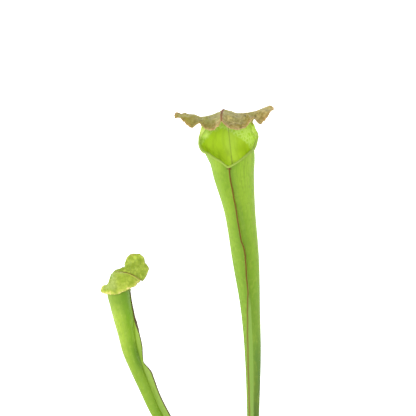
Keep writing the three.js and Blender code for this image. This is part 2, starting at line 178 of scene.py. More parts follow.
def rim_station(leaf, phi):
    """The rim is lowest in front, V-shaped, and runs up the edge of the column behind."""
    top = len(leaf["stations"]) - 1
    shoulder = SHOULDER * leaf["column_from"]
    away = math.hypot(phi, V_ROUNDING) - V_ROUNDING
    rise = math.sin(min(away, shoulder)) / math.sin(shoulder)
    skew = 0.5 * leaf["lip_skew"] * math.copysign(rise, phi)
    lip = blended(leaf["lip_front"], leaf["lip_side"], rise) - skew
    return lip + (top - lip) * smooth(away, shoulder, leaf["column_from"])


def margin_point(leaf, phi):
    """Where rib phi of the hood ends, on the hood's margin."""
    even = max((abs(phi) - leaf["column_from"]) / (math.pi - leaf["column_from"]), 0)
    share = (1 + RIB_CROWDING) * even**2 / (even + RIB_CROWDING)
    margin = leaf["left" if phi < 0 else "right"]["margin"]
    return Vector(along(margin, share * (len(margin) - 1)))


def flare_point(leaf, phi, flare):
    """A point past the rim: on the rolled lip in front, on the hood behind."""
    edge = leaf["column_from"]
    away = abs(phi)
    section = section_at(leaf, rim_station(leaf, phi))
    rim = wall_point(section, phi)
    up = section[1] * leaf["lip_roll"]
    out = (rim - section[0]).normalized() * leaf["lip_roll"]
    lip = [rim + up * 0.5 + out * 0.2, rim + up * 0.55 + out, rim - up * 0.5 + out * 0.95]
    back = smooth(away, 0.86 * edge, 1.04 * edge)
    middle = smooth(away, edge, math.pi)
    end = margin_point(leaf, phi)
    half = leaf["left" if phi < 0 else "right"]
    ridge_lift = Vector(leaf["ridge_lift"]) * smooth(away, 0.62 * math.pi, math.pi)
    crown = Vector(half["crown"]).lerp(Vector(leaf["middle"]["crown"]), middle)
    lift = Vector(half["lift"]).lerp(Vector(leaf["middle"]["lift"]), middle) + ridge_lift
    arch = smooth(away, edge, 0.5 * (edge + math.pi))
    hood = [
        rim.lerp(end, 1 / 3).lerp(rim + lift, arch),
        rim.lerp(end, 2 / 3).lerp(end.lerp(crown, 0.45) + ridge_lift, arch),
        end,
    ]
    a, b, c = (p.lerp(q, back) for p, q in zip(lip, hood))
    rest = 1 - flare
    return (
        rim * rest**3
        + a * (3 * flare * rest**2)
        + b * (3 * flare**2 * rest)
        + c * flare**3
    )


def wing_at(leaf, y):
    """Width of the wing at height y, and how far its edge leans to the leaf's right."""
    wing = leaf["wing"]
    k = max([i for i, entry in enumerate(wing) if entry[0] <= y] or [0])
    low, high = wing[k], wing[min(k + 1, len(wing) - 1)]
    share = smooth(y, low[0], high[0]) if high[0] > low[0] else 0
    return blended(low[1], high[1], share), blended(low[2], high[2], share)


def leaf_columns(leaf):
    """Columns from the back, round the left, the wing and the right, to the back again."""
    edge = leaf["column_from"]
    half = [("wing", k / WING_COLUMNS) for k in range(WING_COLUMNS)] + [("wing", 1)]
    half += [("front", k / leaf["front_columns"]) for k in range(1, leaf["front_columns"] + 1)]
    step = (math.pi - edge) / leaf["back_columns"]
    half += [("back", edge + k * step) for k in range(1, leaf["back_columns"] + 1)]
    return [(kind, place, -1) for kind, place in half[:0:-1]] + [(k, p, 1) for k, p in half]


def column_angle(leaf, column, half_width):
    """The wing's root is as wide on a thick tube as on a thin one."""
    kind, place, sign = column
    root = math.asin(WING_PROFILE[-1][0] * WING_THICKNESS / half_width)
    if kind == "wing":
        return sign * root * place
    if kind == "front":
        return sign * blended(root, leaf["column_from"], place)
    return sign * place


def leaf_rows(leaf):
    """Stations of the wall's rows, an even distance apart, then the flare's shares."""
    top = len(leaf["stations"]) - 1
    rows = [("wall", 0.0)]
    t = 0.0
    step = 0.05
    gone = 0.0
    while t < top - step:
        here = Vector(along(leaf["stations"], t)[:3])
        t += step
        gone += (Vector(along(leaf["stations"], t)[:3]) - here).length
        if gone >= leaf["wall_step"]:
            rows.append(("wall", t))
            gone = 0.0
    rows.append(("wall", float(top)))
    count = leaf["hood_rows"]
    return rows + [("flare", (k + 1) / count) for k in range(count)]


def row_station(leaf, row, phi):
    """The station where a row meets the wall. The upper rows bend to follow the rim."""
    kind, place = row
    bend_from = leaf["bend_from"]
    if kind == "wall" and place <= bend_from:
        return place
    rim = rim_station(leaf, phi)
    if kind == "flare":
        return rim
    return blended(bend_from, rim, (place - bend_from) / (len(leaf["stations"]) - 1 - bend_from))


def moved_onto_wing(leaf, column, row, phi, point):
    """A point beside the wing's root, moved out onto the wing, and how far out it lies."""
    kind, place = row
    centre, _, side, front, half_width, _ = section_at(leaf, row_station(leaf, row, 0))
    width, lean = wing_at(leaf, centre.y)
    aside, out = along(WING_PROFILE, column[1] * (len(WING_PROFILE) - 1))
    fade = 1 - smooth(place, 0.0, WING_FADE) if kind == "flare" else 1.0
    fade *= smooth(centre.y, leaf["wing"][0][0], leaf["wing"][1][0])
    reach = math.sqrt(max(width**2 - lean**2, 0))
    across = column[2] * aside * WING_THICKNESS + out * lean
    start = half_width * math.sin(phi)
    return point + front * (reach * out * fade) + side * ((across - start) * fade), out * fade


def leaf_point(leaf, column, row):
    """Place of a vertex, with the masks that its material reads."""
    kind, place = row
    top = len(leaf["stations"]) - 1
    edge = leaf["column_from"]
    level = place if kind == "wall" else top
    phi = column_angle(leaf, column, along(leaf["stations"], level)[3])
    masks = {"around": abs(phi) / math.pi, "flare": 0.0, "wing": 0.0}
    if kind == "flare":
        back = smooth(abs(phi), 0.9 * edge, 1.02 * edge)
        masks["flare"] = place
        masks["lip"] = 1 - back
        ragged = noise.noise(Vector((9 * phi, 0, 3))) + noise.noise(Vector((26 * phi, 5, 3)))
        frill = FRILL_SIZE * leaf["frill"] * back * ragged * smooth(place, 0.5, 1)
        point = flare_point(leaf, phi, place * (1 + frill))
    else:
        in_front = 1 - smooth(abs(phi), 0.8 * edge, edge)
        masks["lip"] = smooth(level, top - LIP_STATIONS, top) * in_front
        point = wall_point(section_at(leaf, row_station(leaf, row, phi)), phi)
    if column[0] == "wing":
        point, masks["wing"] = moved_onto_wing(leaf, column, row, phi, point)
    point.z = max(point.z, 0)
    return point * MM, phi, masks


def crinkled(leaf, vertex, phi, flare, lip):
    """How far the dried or puckered hood stands off its smooth form, in metres."""
    place = vertex.co / MM
    broad = noise.noise(place / 6.5 + Vector((3, 1, 4)))
    fine = noise.noise(place / 2.6 + Vector((7, 2, 9)))
    ribs = noise.noise(Vector((leaf["ribs"] * phi, 1.5 * flare, 8)))
    amount = smooth(flare, 0.12, 0.7) * (1 - lip)
    return leaf["crinkle"] * MM * amount * (broad + 0.6 * fine + 0.9 * ribs)


def measured(layers, grid, phis, last_row):
    """Real distances in the skin, in millimetres: to the midrib, right positive, and edge."""
    for (i, j), vertex in grid.items():
        from_midrib = (vertex.co - grid[0, j].co).length / MM
        vertex[layers["midrib"]] = math.copysign(from_midrib, phis[vertex])
        vertex[layers["edge"]] = (vertex.co - grid[i, last_row].co).length / MM


def outline_at(line, x):
    """Height of one of the hood's outlines at x, in millimetres."""
    k = max([i for i, point in enumerate(line[:-1]) if point[0] <= x] or [0])
    (low, start), (high, end) = line[k], line[k + 1]
    return blended(start, end, min(max((x - low) / (high - low), 0), 1))


def outermost(hood, strip, pick):
    """Highest or lowest place of the hood in each upright strip."""
    heights = {}
    for vertex in hood:
        heights.setdefault(round(vertex.co.x / strip), []).append(vertex.co.y)
    return {key: pick(values) for key, values in heights.items()}


def between(strips, place):
    """A value at a place, evened out between the strips beside it."""
    low = math.floor(place)
    known = [(strips[k], 1.5 - abs(k - place)) for k in range(low - 1, low + 3) if k in strips]
    weights = [(value, max(weight, 0.01)) for value, weight in known]
    return sum(v * w for v, w in weights) / sum(w for _, w in weights)


def draw_to(hood, outline):
    """Moves part of the hood up or down until its outline follows a line."""
    line = outline["line"]
    strip = OUTLINE_STRIP * MM
    most = outline["most"] * MM
    part = [v for v in hood if v.co.z > outline["above"] * MM]
    for _ in range(OUTLINE_PASSES):
        ends = outermost(part, strip, outline["pick"])
        misses = dict.fromkeys(ends, 0.0)
        for key in ends:
            x = key * OUTLINE_STRIP
            if line[0][0] <= x <= line[-1][0]:
                misses[key] = outline_at(line, x) * MM - ends[key]
        for vertex in part:
            place = vertex.co.x / strip
            below = abs(between(ends, place) - vertex.co.y) / MM
            miss = min(max(between(misses, place), -most), most)
            vertex.co.y += (1 - smooth(below, 0, outline["depth"])) * miss


def piece_from(bm, name):
    """An object of the scene, made of what has been built."""
    mesh = bpy.data.meshes.new(name)
    bm.to_mesh(mesh)
    bm.free()
    piece = bpy.data.objects.new(name, mesh)
    bpy.context.scene.collection.objects.link(piece)
    return piece


def leaf_object(name, leaf):
    """The leaf's outer skin, bent out of one flat grid, closed behind and below."""
    columns = leaf_columns(leaf)
    rows = leaf_rows(leaf)
    bm = bmesh.new()
    uv = bm.loops.layers.uv.new("skin")
    layers = {key: bm.verts.layers.float.new(key) for key in SKIN_MASKS}
    bmesh.ops.create_grid(bm, x_segments=len(columns) - 1, y_segments=len(rows) - 1, size=1)
    cells = {}
    grid = {}
    phis = {}
    for vertex in bm.verts:
        i = round((vertex.co.x + 1) / 2 * (len(columns) - 1))
        j = round((vertex.co.y + 1) / 2 * (len(rows) - 1))
        vertex.co, phi, masks = leaf_point(leaf, columns[i], rows[j])
        for key, value in masks.items():
            vertex[layers[key]] = value
        cells[vertex] = (phi / (2 * math.pi) + 0.5, j / (len(rows) - 1))
        grid[i, j] = vertex
        phis[vertex] = phi
    measured(layers, grid, phis, len(rows) - 1)
    for face in bm.faces:
        face.smooth = True
        for loop in face.loops:
            loop[uv].uv = cells[loop.vert]
    base_rim = [e for e in bm.edges if e.is_boundary and all(cells[v][1] == 0 for v in e.verts)]
    bmesh.ops.remove_doubles(bm, verts=bm.verts, dist=0.01 * MM)
    low_edges = [e for e in base_rim if e.is_valid]
    bmesh.ops.holes_fill(bm, edges=low_edges, sides=0)
    bm.normal_update()
    base = [f for f in bm.faces if len(f.verts) > 4]
    bmesh.ops.reverse_faces(bm, faces=[f for f in base if f.normal.y > 0])
    bm.normal_update()
    moves = [
        (v, v.normal * crinkled(leaf, v, phis[v], v[layers["flare"]], v[layers["lip"]]))
        for v in bm.verts
    ]
    for vertex, move in moves:
        vertex.co += move
        vertex.co.z = max(vertex.co.z, 0)
    hood = [v for v in bm.verts if v[layers["flare"]] > 0.1 and v[layers["lip"]] < 0.01]
    for outline in leaf["outlines"]:
        draw_to(hood, outline)
    piece = piece_from(bm, name)
    wall = piece.modifiers.new("wall", "SOLIDIFY")
    wall.thickness = LEAF_WALL
    wall.offset = -1
    wall.material_offset = 1
    wall.material_offset_rim = 0
    return piece


class Value:
    """A number that varies over a surface. Sums with it become nodes of its tree."""

    def __init__(self, tree, socket):
        self.tree = tree
        self.socket = socket

    def __add__(self, other):
        return sum_of(self.tree, "ADD", self, other)

    def __sub__(self, other):
        return sum_of(self.tree, "SUBTRACT", self, other)

    def __rsub__(self, other):
        return sum_of(self.tree, "SUBTRACT", other, self)

    def __mul__(self, other):
        return sum_of(self.tree, "MULTIPLY", self, other)

    def __abs__(self):
        return sum_of(self.tree, "ABSOLUTE", self)

    def step(self, low, high, curve="SMOOTHSTEP"):
        """A mask that rises from 0 at low to 1 at high."""
        inputs = {"Value": self, "From Min": low, "From Max": high}
        made = new_node(self.tree, "MapRange", inputs, interpolation_type=curve)
        return Value(self.tree, made.outputs["Result"])


def new_node(tree, kind, inputs=(), **settings):
    """A node with its settings and inputs. An input is a value or another node's socket."""
    made = tree.nodes.new("ShaderNode" + kind)
    for key, value in settings.items():
        setattr(made, key, value)
    for key, value in dict(inputs).items():
        if isinstance(value, Value):
            value = value.socket
        if isinstance(value, bpy.types.NodeSocket):
            tree.links.new(value, made.inputs[key])
        else:
            made.inputs[key].default_value = value
    return made


def sum_of(tree, operation, *values):
    made = new_node(tree, "Math", dict(enumerate(values)), operation=operation)
    return Value(tree, made.outputs[0])


def parts_of(tree, vector):
    """A vector's three parts."""
    return [Value(tree, part) for part in new_node(tree, "SeparateXYZ", {0: vector}).outputs]


def vector_sum(tree, operation, a, b):
    return new_node(tree, "VectorMath", {0: a, 1: b}, operation=operation).outputs[0]


def cloud_at(tree, place, scale, detail):
    """Cloudy noise at a place."""
    inputs = {"Vector": place, "Scale": scale, "Detail": detail}
    return new_node(tree, "TexNoise", inputs).outputs


def net_at(tree, place, scale):
    """Distance to the nearest thread of an uneven net."""
    inputs = {"Vector": place, "Scale": scale}
    made = new_node(tree, "TexVoronoi", inputs, feature="DISTANCE_TO_EDGE")
    return Value(tree, made.outputs["Distance"])


def shade(colour):
    """A colour for a socket: another socket, or a screen's 0 to 255 values made linear."""
    if not isinstance(colour, tuple):
        return colour
    shares = [value / 255 for value in colour]
    return (*(s / 12.92 if s < 0.04045 else ((s + 0.055) / 1.055) ** 2.4 for s in shares), 1)


VEIN_WAVES = (16, 5, 1)
VEIN_WAVE_SIZE = 0.07
VEIN_HALF_WIDTH = 0.14
NET_CELLS = (70, 60)
NET_HALF_WIDTH = 0.12
NET_STRENGTH = 0.45


def vein_group():
    """Fine lengthwise veins joined by a loose net: a mask and a height."""
    group = bpy.data.node_groups.new("leaf_veins", "ShaderNodeTree")
    for name, way, kind in (
        ("Skin", "INPUT", "Vector"),
        ("Veins", "INPUT", "Float"),
        ("Mask", "OUTPUT", "Float"),
        ("Height", "OUTPUT", "Float"),
    ):
        group.interface.new_socket(name, in_out=way, socket_type="NodeSocket" + kind)
    given = group.nodes.new("NodeGroupInput").outputs
    result = group.nodes.new("NodeGroupOutput").inputs
    across, up, _ = parts_of(group, given["Skin"])
    waves = vector_sum(group, "MULTIPLY", given["Skin"], VEIN_WAVES)
    bend = Value(group, cloud_at(group, waves, 1.0, 3.0)["Fac"]) * VEIN_WAVE_SIZE + across
    line = sum_of(group, "PINGPONG", bend * given["Veins"], 0.5).step(VEIN_HALF_WIDTH, 0.0)
    net_place = {"X": bend * NET_CELLS[0], "Y": up * NET_CELLS[1]}
    net = net_at(group, new_node(group, "CombineXYZ", net_place).outputs[0], 1.0)
    web = net.step(NET_HALF_WIDTH, 0.0) * NET_STRENGTH
    veins = sum_of(group, "MAXIMUM", line, web)
    for name in ("Mask", "Height"):
        group.links.new(veins.socket, result[name])
    return group


VEINS = vein_group()
RELIEF_DEPTH = 0.4 * MM
LEAF_GLOSS = 0.22
STREAKS = (150, 9, 1)
LIP_GREEN = (152, 172, 76)
DRY_FROM = 0.54


class Coat:
    """A material while its colour is built up, one coat of paint over the other."""

    def __init__(self, name):
        self.material = bpy.data.materials.new(name)
        self.material.use_nodes = True
        self.tree = self.material.node_tree
        self.tree.nodes.clear()
        self.place = new_node(self.tree, "TexCoord").outputs["Object"]
        self.x, self.y, self.z = parts_of(self.tree, self.place)
        self.colour = None

    def skin(self):
        """Round the leaf, from 0 behind past 0.5 at the wing to 1, and along it, 0 to 1."""
        return new_node(self.tree, "UVMap", uv_map="skin").outputs[0]

    def turn(self):
        return parts_of(self.tree, self.skin())[0]

    def sheet(self, name):
        """One of the numbers that the mesh keeps at its vertices."""
        made = new_node(self.tree, "Attribute", attribute_name=name)
        return Value(self.tree, made.outputs["Fac"])

    def height(self, low, high):
        """How far up the leaf a point lies, from 0 at low to 1 at high, in millimetres."""
        return self.y.step(low * MM, high * MM, "LINEAR")

    def patches(self, scale, detail=3.0, stretch=(1, 1, 1)):
        """Cloudy noise fixed to the object, in patches per metre."""
        place = new_node(self.tree, "Mapping", {"Vector": self.place, "Scale": stretch})
        return Value(self.tree, cloud_at(self.tree, place.outputs[0], scale, detail)["Fac"])

    def clouds(self, scale, low, high, detail=3.0, stretch=(1, 1, 1)):
        return self.patches(scale, detail, stretch).step(low, high)

    def puckers(self, scale):
        """Small cushions between the veins of a puckered leaf, 0 along the veins."""
        warp = cloud_at(self.tree, self.place, scale, 2.0)["Color"]
        shift = vector_sum(self.tree, "MULTIPLY", warp, (0.5 / scale,) * 3)
        moved = vector_sum(self.tree, "ADD", self.place, shift)
        return net_at(self.tree, moved, scale).step(0.0, 0.3)

    def spot(self, x, y, radius):
        """A soft round spot at x and y, in millimetres."""
        aside = self.x - x * MM
        up = self.y - y * MM
        away = sum_of(self.tree, "SQRT", aside * aside + up * up)
        return away.step(radius * MM, 0.4 * radius * MM)

    def midrib(self, offset, half_width):
        """A line along the midrib, moved aside by an offset, in millimetres."""
        away = abs(self.sheet("midrib") - offset)
        return away.step(1.6 * half_width, 0.6 * half_width)

    def veins(self, count):
        """The mask and the height of so many veins round the leaf."""
        inputs = {"Skin": self.skin(), "Veins": count}
        made = new_node(self.tree, "Group", inputs, node_tree=VEINS).outputs
        return Value(self.tree, made["Mask"]), Value(self.tree, made["Height"])

    def graded(self, value, stops):
        """A colour along a value from 0 to 1."""
        ramp = new_node(self.tree, "ValToRGB", {0: value})
        elements = ramp.color_ramp.elements
        while len(elements) < len(stops):
            elements.new(0.5)
        for element, (place, colour) in zip(elements, stops):
            element.position = place
            element.color = shade(colour)
        return ramp.outputs["Color"]

    def mix(self, share, a, b):
        inputs = {0: share, 6: shade(a), 7: shade(b)}
        return new_node(self.tree, "Mix", inputs, data_type="RGBA").outputs[2]

    def paint(self, mask, strength, colour):
        """Paints over the colour so far where the mask is 1."""
        self.colour = self.mix(mask * strength, self.colour, colour)

    def finished(self, roughness, height, translucence, bump):
        """The material: a satin skin over tissue that lets some light through."""
        relief = {"Strength": bump, "Distance": RELIEF_DEPTH, "Height": height}
        normal = new_node(self.tree, "Bump", relief).outputs["Normal"]
        skin = new_node(self.tree, "BsdfPrincipled", {
            "Base Color": self.colour, "Roughness": roughness, "Normal": normal,
            "Specular IOR Level": LEAF_GLOSS,
        })
        through = new_node(self.tree, "BsdfTranslucent", {"Color": self.colour, "Normal": normal})
        shares = {0: translucence, 1: skin.outputs[0], 2: through.outputs[0]}
        mixed = new_node(self.tree, "MixShader", shares)
        new_node(self.tree, "OutputMaterial", {"Surface": mixed.outputs[0]})
        return self.material


def paint_veins(coat, vein_shade, vein_count):
    """Cloudy light patches, fine streaks and darker veins, which also give their height."""
    coat.paint(coat.clouds(70, 0.35, 0.7, stretch=(1, 0.35, 1)), 0.25, (180, 202, 66))
    streaked = vector_sum(coat.tree, "MULTIPLY", coat.skin(), STREAKS)
    streak = Value(coat.tree, cloud_at(coat.tree, streaked, 1.0, 2.0)["Fac"])
    coat.paint(streak.step(0.42, 0.7), 0.35, vein_shade)
    coat.paint(coat.clouds(420, 0.48, 0.66), 0.3, vein_shade)
    coat.paint(coat.clouds(560, 0.52, 0.7, stretch=(1, 0.5, 1)), 0.14, (196, 206, 92))
    veins, height = coat.veins(vein_count)
    coat.paint(veins, 0.2, vein_shade)
    return height


def paint_tall_tube(coat):
    """The tall tube is yellower up, lighter left and darker right, partly as painted light; the
    deep green beside the wing is painted shade.
    """
    up = coat.height(130, 330)
    # Lighter left side, darker right side: partly the leaf's own colour, partly painted light from
    # the left.
    left = coat.graded(up, [
        (0.0, (130, 164, 66)), (0.4, (138, 174, 58)), (0.8, (152, 184, 56)), (1.0, (156, 192, 60)),
    ])
    right = coat.graded(up, [
        (0.0, (82, 110, 46)), (0.25, (106, 146, 56)), (0.5, (140, 176, 52)), (1.0, (152, 190, 54)),
    ])
    coat.colour = coat.mix(coat.turn().step(0.48, 0.54), left, right)
    # Painted shade: deep green beside the wing's root.
    wing_root_shade = coat.sheet("around").step(0.26, 0.04) * coat.height(160, 240)
    coat.paint(wing_root_shade, 0.7, (112, 150, 22))


def paint_tall_hood(coat):
    """The dried hood: olive tan mottled with brown, a few green patches, a cream rim."""
    turn = coat.turn()
    edge = coat.sheet("edge")
    coat.colour = coat.mix(coat.clouds(330, 0.38, 0.62), (146, 135, 60), (206, 192, 118))
    inner_left = turn.step(0.24, 0.14) * turn.step(0.02, 0.06)
    coat.paint(inner_left, 0.5, (136, 140, 44))
    green = coat.clouds(130, 0.44, 0.6, 4.0) * (turn.step(0.32, 0.1) * 0.55 + 0.35)
    coat.paint(green, 0.9, (162, 170, 74))
    outer = edge.step(9.0, 3.0)
    coat.paint(outer, 0.25, (172, 134, 64))
    coat.paint(1 - outer, 0.3, (182, 178, 108))
    outer_right = turn.step(0.92, 0.8) * turn.step(0.5, 0.6)
    coat.paint(outer_right, 0.6, (220, 212, 154))
    coat.paint(coat.spot(-29.5, 333.5, 4.2), 0.45, (128, 132, 40))
    coat.paint(coat.clouds(640, 0.55, 0.68, 4.0, (1, 1.8, 1)), 0.6, (104, 76, 34))
    coat.paint(1 - coat.puckers(420), 0.25, (112, 88, 40))
    ragged = coat.patches(500) * 2.4 + edge
    coat.paint(ragged.step(4.0, 2.0), 0.4, (182, 144, 92))
    broken = coat.clouds(480, 0.4, 0.62) * 0.6 + 0.3
    coat.paint(ragged.step(2.0, 1.2) * broken, 0.9, (220, 192, 144))
    coat.paint(coat.spot(-4.9, 338.6, 0.8), 0.8, (60, 50, 24))
    line = coat.midrib(0.0, 0.6) * coat.sheet("flare").step(0.3, 0.5)
    coat.paint(line, 0.85, (136, 70, 46))


def wing_cap(coat):
    """A short dark bar across the top of the wing, just under the lip."""
    up = abs(coat.y - 301.7 * MM).step(0.8 * MM, 0.3 * MM)
    aside = abs(coat.x + 16.1 * MM).step(2.1 * MM, 1.5 * MM)
    return up * aside * coat.sheet("around").step(0.2, 0.15)


def dried(coat, flare_mask):
    """The part of the tall leaf that has dried: its hood, behind the edge of the column."""
    behind = coat.sheet("around").step(DRY_FROM, DRY_FROM + 0.03)
    return flare_mask * (1 - coat.sheet("lip")) * behind


def tall_skin():
    """Green below, dried tan above, with the red-brown edge of the wing drawn last."""
    coat = Coat("tall_pitcher_skin")
    wing = coat.sheet("wing")
    paint_tall_tube(coat)
    height = paint_veins(coat, (116, 148, 40), TALL["veins"])
    # Painted light: the wing's thin flank glows paler, as if lit through from behind.
    flank = wing.step(0.12, 0.24) * coat.height(214, 204)
    coat.paint(flank, 0.9, (146, 180, 80))
    blush = coat.turn().step(0.62, 0.72) * coat.clouds(260, 0.5, 0.68) * coat.height(180, 230)
    coat.paint(blush, 0.35, (184, 178, 92))
    coat.paint(coat.sheet("lip"), 0.7, LIP_GREEN)
    green = coat.colour
    paint_tall_hood(coat)
    dry = dried(coat, (coat.patches(160) * 0.3 + coat.sheet("flare")).step(0.3, 0.5))
    coat.colour = coat.mix(dry, green, coat.colour)
    line = coat.mix(coat.height(190, 230), (134, 124, 54), (114, 76, 4))
    coat.paint(wing.step(0.87, 0.97), 0.95, line)
    coat.paint(wing_cap(coat), 0.7, (110, 64, 26))
    wrinkles = dry * coat.patches(700, 4.0) * 1.6
    return coat.finished(0.5, height + wrinkles, 0.4, 0.22)


def collar_mask(coat):
    """The collar round the mouth, above a ragged line that is lowest at both sides."""
    ragged = coat.patches(220) * (5 * MM) + coat.y
    aside = coat.x + 19 * MM
    sloping = sum_of(coat.tree, "MAXIMUM", aside * aside * 42.0, aside * 0.6)
    return (sloping + ragged).step(331.4 * MM, 334.2 * MM)


def back_line(coat):
    """The vein up the middle of the tall trap's back wall, seen through the mouth."""
    straight = new_node(coat.tree, "MapRange", {
        "Value": coat.y, "From Min": 304.5 * MM, "From Max": 329 * MM,
        "To Min": -13.7 * MM, "To Max": -16.4 * MM,
    })
    away = abs(coat.x - straight.outputs["Result"])
    return away.step(0.55 * MM, 0.15 * MM) * coat.sheet("around").step(0.7, 0.8)


def tall_lining():
    """The waxy inside of the trap, yellow-green and palest in the collar round the mouth, with
    painted light and shade.
    """
    coat = Coat("tall_pitcher_lining")
    turn = coat.turn()
    lip = coat.sheet("lip")
    flare = coat.sheet("flare")
    # Painted light: palest low down near the lip, where the lip's shadow falls, as if lit through
    # the thin wall.
    coat.colour = coat.graded(coat.height(300, 335), [
        (0.0, (228, 254, 60)), (0.4, (180, 208, 38)), (1.0, (172, 202, 42)),
    ])
    coat.paint(coat.clouds(160, 0.4, 0.65), 0.3, (172, 202, 30))
    veins, height = coat.veins(TALL["inner_veins"])
    coat.paint(veins, 0.2, (128, 158, 20))
    # Painted shade: darker towards the right of the bowl.
    coat.paint(coat.x.step(-14 * MM, -4 * MM), 0.35, (150, 178, 24))
    smudge = coat.clouds(260, 0.48, 0.66, 3.0, (1, 0.3, 1))
    coat.paint(smudge, 0.35, (142, 168, 16))
    collar = collar_mask(coat)
    coat.paint(collar, 0.9, (168, 200, 60))
    # Painted light: the collar's left side glows pale, as if lit through the thin wall.
    left = coat.x.step(-28.5 * MM, -32.5 * MM) * coat.y.step(321.5 * MM, 325.5 * MM)
    coat.paint(collar * left, 0.9, (232, 252, 132))
    coat.paint(collar * (1 - coat.puckers(360)), 0.3, (236, 250, 160))
    coat.paint(back_line(coat), 0.55, (124, 136, 20))
    coat.paint(lip, 0.85, (138, 163, 70))
    # Painted shadow: a dark line along the inside of the lip's left arm.
    front_left = turn.step(0.56, 0.5) * turn.step(0.3, 0.38)
    coat.paint(lip * flare.step(0.22, 0.08) * front_left, 0.85, (80, 100, 30))
    dry = dried(coat, flare.step(0.45, 0.75))
    coat.colour = coat.mix(dry, coat.colour, (172, 156, 88))
    return coat.finished(0.5, height, 0.3, 0.1)


tall = leaf_object("tall_pitcher_leaf", TALL)
tall.data.materials.append(tall_skin())
tall.data.materials.append(tall_lining())
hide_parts("tall_pitcher")
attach(tall, "root")

# The short pitcher is a younger leaf of the same plant, lying on its side. Its hood is
# still green, puckered between its veins, and folded over the mouth along its midrib.

SHORT = {
    "stations": [
        (-9, 3.5, 7.2, 4.6, 4, 80), (-13, 14, 7.3, 4, 3.7, 85), (-24, 42, 7.5, 3.2, 3.2, 88),
        (-41.5, 82, 7.5, 3.2, 3.3, 90), (-56.5, 111, 7.4, 3.3, 3.4, 90),
        (-68.5, 133, 7.3, 3.4, 3.6, 90), (-74.7, 147, 7.3, 3.8, 4, 90),
        (-80.6, 160.7, 7.2, 4.3, 4.5, 90), (-85.5, 174, 7.2, 5.1, 5.3, 92),
        (-87.9, 185, 7.1, 5.8, 5.8, 95), (-90, 196, 7.1, 6.7, 6.8, 97),
        (-92.1, 206, 7.2, 7.2, 7.3, 98), (-93.8, 216, 8.5, 7.3, 7.9, 99),
        (-93, 225, 9.6, 6.9, 6.8, 98),
    ],
    "wing": [
        (8, 0, 0), (20, 1.5, 0), (42, 3.6, 0.4), (82, 4.6, -0.4), (111, 4.9, 0.5),
        (131, 4.8, -0.4), (144, 4.4, 0.3), (153, 4.8, -0.3), (156, 5, -0.5),
        (158.5, 4.2, -0.2), (161, 2.8, 0.2), (164, 1.8, 0.5), (167.5, 2.5, 0.4),
        (170.5, 3.3, 0.3), (174, 4, 0), (178, 4.1, -0.3), (187, 3.4, -0.4), (192, 2.6, 0),
        (197, 1.5, 0), (212, 1, 0), (219, 0.5, 0),
    ],
    "bend_from": 10,
    "lip_front": 12.1,
    "lip_side": 12.3,
    "lip_skew": 0,
    "lip_roll": 1.0,
    "column_from": math.radians(130),
    "front_columns": 40,
    "back_columns": 60,
    "wall_step": 2.2,
    "hood_rows": 50,
    "left": {
        "lift": (0.8, 3.1, 1.9),
        "crown": (-91.9, 226.9, 23),
        "margin": [
            (-98, 221, 18), (-101.1, 221.6, 16.6), (-105.3, 218.9, 17.3),
            (-105.2, 215.7, 19.4), (-99.6, 213.7, 22.7), (-94.8, 214.1, 22.1),
            (-89.6, 216, 21.7), (-84.4, 218.2, 20.7), (-80, 221.2, 17.5), (-78, 224, 13.5),
        ],
    },
    "right": {
        "lift": (4.3, 3.8, -0.8),
        "crown": (-83.8, 225.9, 6.3),
        "margin": [
            (-93.6, 228.3, 0.1), (-94.2, 229.9, 1.6), (-88.3, 234.6, 4.6), (-89.2, 238.7, 7.1),
            (-82.9, 242.3, 7.7), (-76.4, 240.7, 6.3), (-74.3, 235.5, 4.2), (-72.3, 231.9, 3.9),
            (-75.3, 223.7, 6.3), (-78, 224, 13.5),
        ],
    },
    "outlines": [
        {"pick": max, "above": -1, "depth": 6, "most": 1.4, "line": [
            (-105.3, 219.5), (-103.9, 220.6), (-102.2, 220.8), (-101.1, 222.0), (-100.4, 224.1),
            (-99.8, 225.5), (-99.0, 227.8), (-97.6, 229.9), (-96.2, 231.1), (-94.1, 231.8),
            (-92.0, 232.4), (-90.6, 233.2), (-89.6, 234.8), (-88.5, 238.2), (-87.1, 240.1),
            (-85.8, 241.5), (-84.3, 242.2), (-78.8, 242.2),
        ]},
    ],
    "middle": {"lift": (-0.7, 7.8, 1.3), "crown": (-91, 229.8, 14.7)},
    "ridge_lift": (1.8, 1.4, 2.6),
    "crinkle": 0.6,
    "ribs": 9,
    "frill": 1.0,
    "veins": 30,
    "inner_veins": 22,
}
HOOD_CUSHIONS = 330


def paint_short_tube(coat):
    """The short tube is pale behind and deep green towards its wing, partly as painted shade."""
    around = coat.sheet("around")
    # Deep green towards the wing: partly the leaf's own colour, partly painted shade on the side
    # away from the light.
    coat.colour = coat.graded(around, [
        (0.1, (120, 160, 14)), (0.3, (112, 156, 8)), (0.42, (110, 154, 8)),
        (0.55, (124, 161, 20)), (0.72, (154, 182, 58)), (1.0, (166, 190, 78)),
    ])
    # Painted shadow: deep green beside the wing below its kink.
    deep = coat.height(156, 166) * coat.height(182, 172) * around.step(0.4, 0.2)
    coat.paint(deep, 0.8, (78, 118, 2))
    coat.paint(coat.height(185, 150), 0.6, (100, 134, 30))
    flank = coat.sheet("wing").step(0.02, 0.1) * coat.height(166, 156)
    coat.paint(flank, 0.8, (136, 166, 66))


